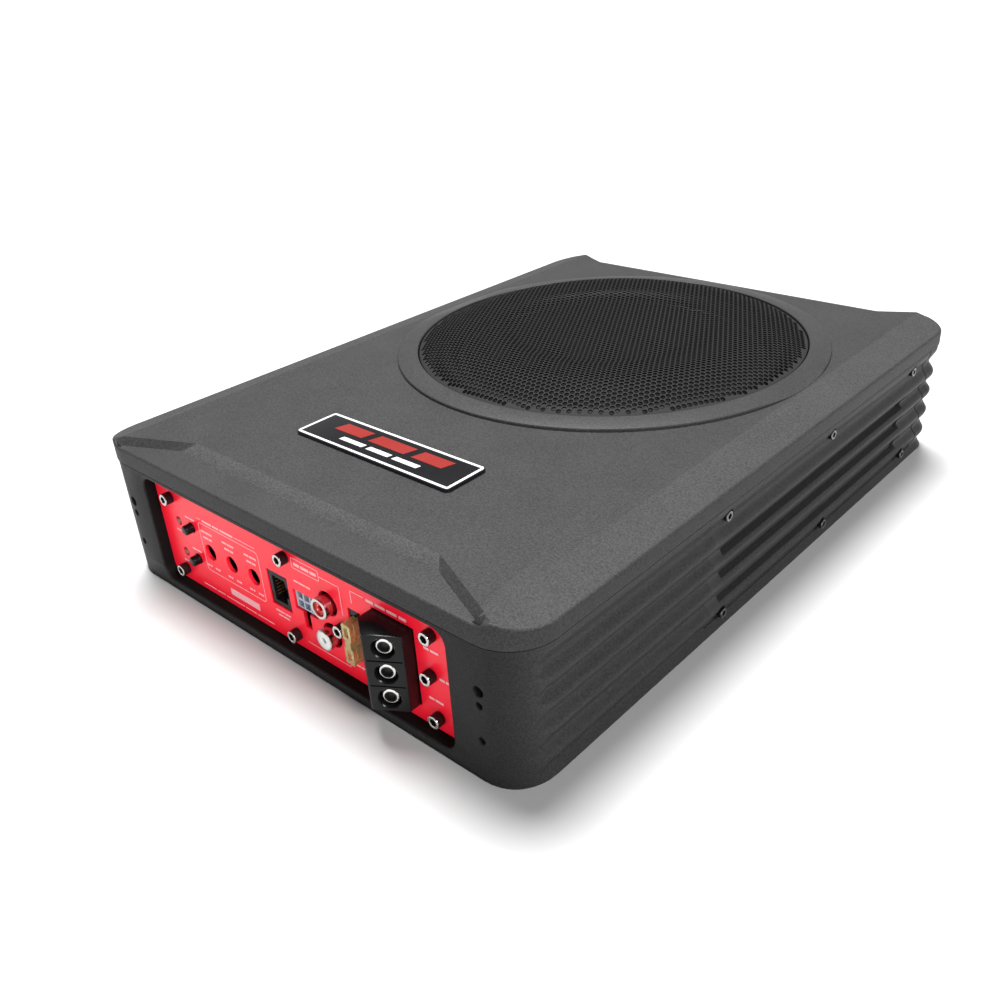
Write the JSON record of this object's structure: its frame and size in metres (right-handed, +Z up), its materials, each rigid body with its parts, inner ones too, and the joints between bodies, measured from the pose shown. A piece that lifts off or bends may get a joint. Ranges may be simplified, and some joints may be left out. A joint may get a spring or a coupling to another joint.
{
  "type": "powered under-seat car subwoofer",
  "caption": "Flat fluted metal enclosure with a round driver under a domed perforated grille and a recessed red control panel with power, signal and fuse sockets.",
  "frame": {"origin": "centre of the housing's underside, on the floor plane", "axes": "+X across the width, -Y out of the control panel's end, +Z up through the grille"},
  "size_m": [0.256, 0.3525, 0.081],
  "materials": {
    "coat": "fine textured charcoal powder coat",
    "panel_red": "satin red paint with white printed frames",
    "steel": "zinc-plated sheet steel",
    "nickel": "bright nickel plate",
    "black_plastic": "moulded glossy black",
    "badge": null,
    "red_plastic": "moulded red insulator with a nickel ring",
    "white_plastic": "moulded off-white",
    "lens": "diffused tinted lens",
    "grey_plastic": "moulded pale blue-grey",
    "amber": "translucent amber",
    "paper": "coated paper pulp",
    "rubber": "moulded butyl rubber",
    "basket": "black baked enamel on pressed steel",
    "ferrite": "sintered ferrite",
    "copper": "enamelled copper winding",
    "cloth": "resin-treated woven cloth",
    "board": "green solder mask on glass-fibre board"
  },
  "bodies": {
    "enclosure": {"top_housing": "coat", "left_side_plate": "coat", "right_side_plate": "coat", "grille": "coat", "bottom_plate": "steel", "magnet_yoke": "steel", "magnet_top_washer": "steel", "left_side_screw_1": "nickel", "left_side_screw_2": "nickel", "left_side_screw_3": "nickel", "left_side_screw_4": "nickel", "left_side_screw_5": "nickel", "left_side_screw_6": "nickel", "right_side_screw_1": "nickel", "right_side_screw_2": "nickel", "right_side_screw_3": "nickel", "right_side_screw_4": "nickel", "right_side_screw_5": "nickel", "right_side_screw_6": "nickel", "panel_screw_1": "nickel", "panel_screw_2": "nickel", "panel_screw_3": "nickel", "panel_screw_4": "nickel", "panel_screw_5": "nickel", "panel_screw_6": "nickel", "panel_screw_7": "nickel", "panel_screw_8": "nickel", "badge_plate": "badge", "woofer_basket": "basket", "woofer_magnet": "ferrite", "power_transformer": "copper", "spider": "cloth", "surround": "rubber", "control_panel": "panel_red", "remote_jack": "black_plastic", "rca_block": "black_plastic", "fuse_holder": "black_plastic", "terminal_block": "black_plastic", "status_led_1": "lens", "status_led_2": "lens", "rca_jack_white": "white_plastic", "control_board": "board", "amplifier_board": "board", "high_level_socket": "grey_plastic", "rca_jack_red": "red_plastic"},
    "moving_cone": {"cone": "paper", "dust_cap": "paper", "voice_coil": "copper"},
    "button_1": {"push_button_1": "black_plastic"},
    "button_2": {"push_button_2": "black_plastic"},
    "pot_1": {"level_pot_rotor_1": "white_plastic"},
    "pot_2": {"level_pot_rotor_2": "white_plastic"},
    "pot_3": {"level_pot_rotor_3": "white_plastic"},
    "clamp_1": {"terminal_clamp_1": "nickel"},
    "clamp_2": {"terminal_clamp_2": "nickel"},
    "clamp_3": {"terminal_clamp_3": "nickel"},
    "screw_1": {"terminal_screw_1": "nickel"},
    "screw_2": {"terminal_screw_2": "nickel"},
    "screw_3": {"terminal_screw_3": "nickel"},
    "fuse": {"fuse": "amber"}
  },
  "joints": [
    {"name": "cone_travel", "type": "slide", "parent": "enclosure", "child": "moving_cone", "axis": [0, 0, 1], "range_m": [-0.006, 0.006], "stiffness_N_per_m": 5000, "deforming": ["surround", "spider"]},
    {"name": "button_1_press", "type": "slide", "parent": "enclosure", "child": "button_1", "axis": [0, 1, 0], "range_m": [0, 0.002], "stiffness_N_per_m": 400, "springref_m": -0.0005},
    {"name": "button_2_press", "type": "slide", "parent": "enclosure", "child": "button_2", "axis": [0, 1, 0], "range_m": [0, 0.002], "stiffness_N_per_m": 400, "springref_m": -0.0005},
    {"name": "level_1_turn", "type": "hinge", "parent": "enclosure", "child": "pot_1", "pos_m": [-0.058, -0.158, 0.0283], "axis": [0, 1, 0], "range_deg": [-150, 150]},
    {"name": "level_2_turn", "type": "hinge", "parent": "enclosure", "child": "pot_2", "pos_m": [-0.042, -0.158, 0.0283], "axis": [0, 1, 0], "range_deg": [-150, 150]},
    {"name": "level_3_turn", "type": "hinge", "parent": "enclosure", "child": "pot_3", "pos_m": [-0.026, -0.158, 0.0283], "axis": [0, 1, 0], "range_deg": [-150, 150]},
    {"name": "clamp_1_travel", "type": "slide", "parent": "enclosure", "child": "clamp_1", "axis": [0.5312, -0.8472, 0], "range_m": [-0.0028, 0]},
    {"name": "screw_1_turn", "type": "hinge", "parent": "clamp_1", "child": "screw_1", "pos_m": [0.0667, -0.17605, 0.0177], "axis": [0.5312, -0.8472, 0], "range_deg": [-1441, 0]},
    {"name": "clamp_2_travel", "type": "slide", "parent": "enclosure", "child": "clamp_2", "axis": [0.5312, -0.8472, 0], "range_m": [-0.0028, 0]},
    {"name": "screw_2_turn", "type": "hinge", "parent": "clamp_2", "child": "screw_2", "pos_m": [0.0667, -0.17605, 0.029], "axis": [0.5312, -0.8472, 0], "range_deg": [-1441, 0]},
    {"name": "clamp_3_travel", "type": "slide", "parent": "enclosure", "child": "clamp_3", "axis": [0.5312, -0.8472, 0], "range_m": [-0.0028, 0]},
    {"name": "screw_3_turn", "type": "hinge", "parent": "clamp_3", "child": "screw_3", "pos_m": [0.0667, -0.17605, 0.0403], "axis": [0.5312, -0.8472, 0], "range_deg": [-1441, 0]},
    {"name": "fuse_pull", "type": "slide", "parent": "enclosure", "child": "fuse", "axis": [0, -1, 0], "range_m": [0, 0.02]}
  ],
  "couplings": [
    {"joint": "screw_1_turn", "follows": "clamp_1_travel", "rad_per_m": 8976},
    {"joint": "screw_2_turn", "follows": "clamp_2_travel", "rad_per_m": 8976},
    {"joint": "screw_3_turn", "follows": "clamp_3_travel", "rad_per_m": 8976}
  ]
}
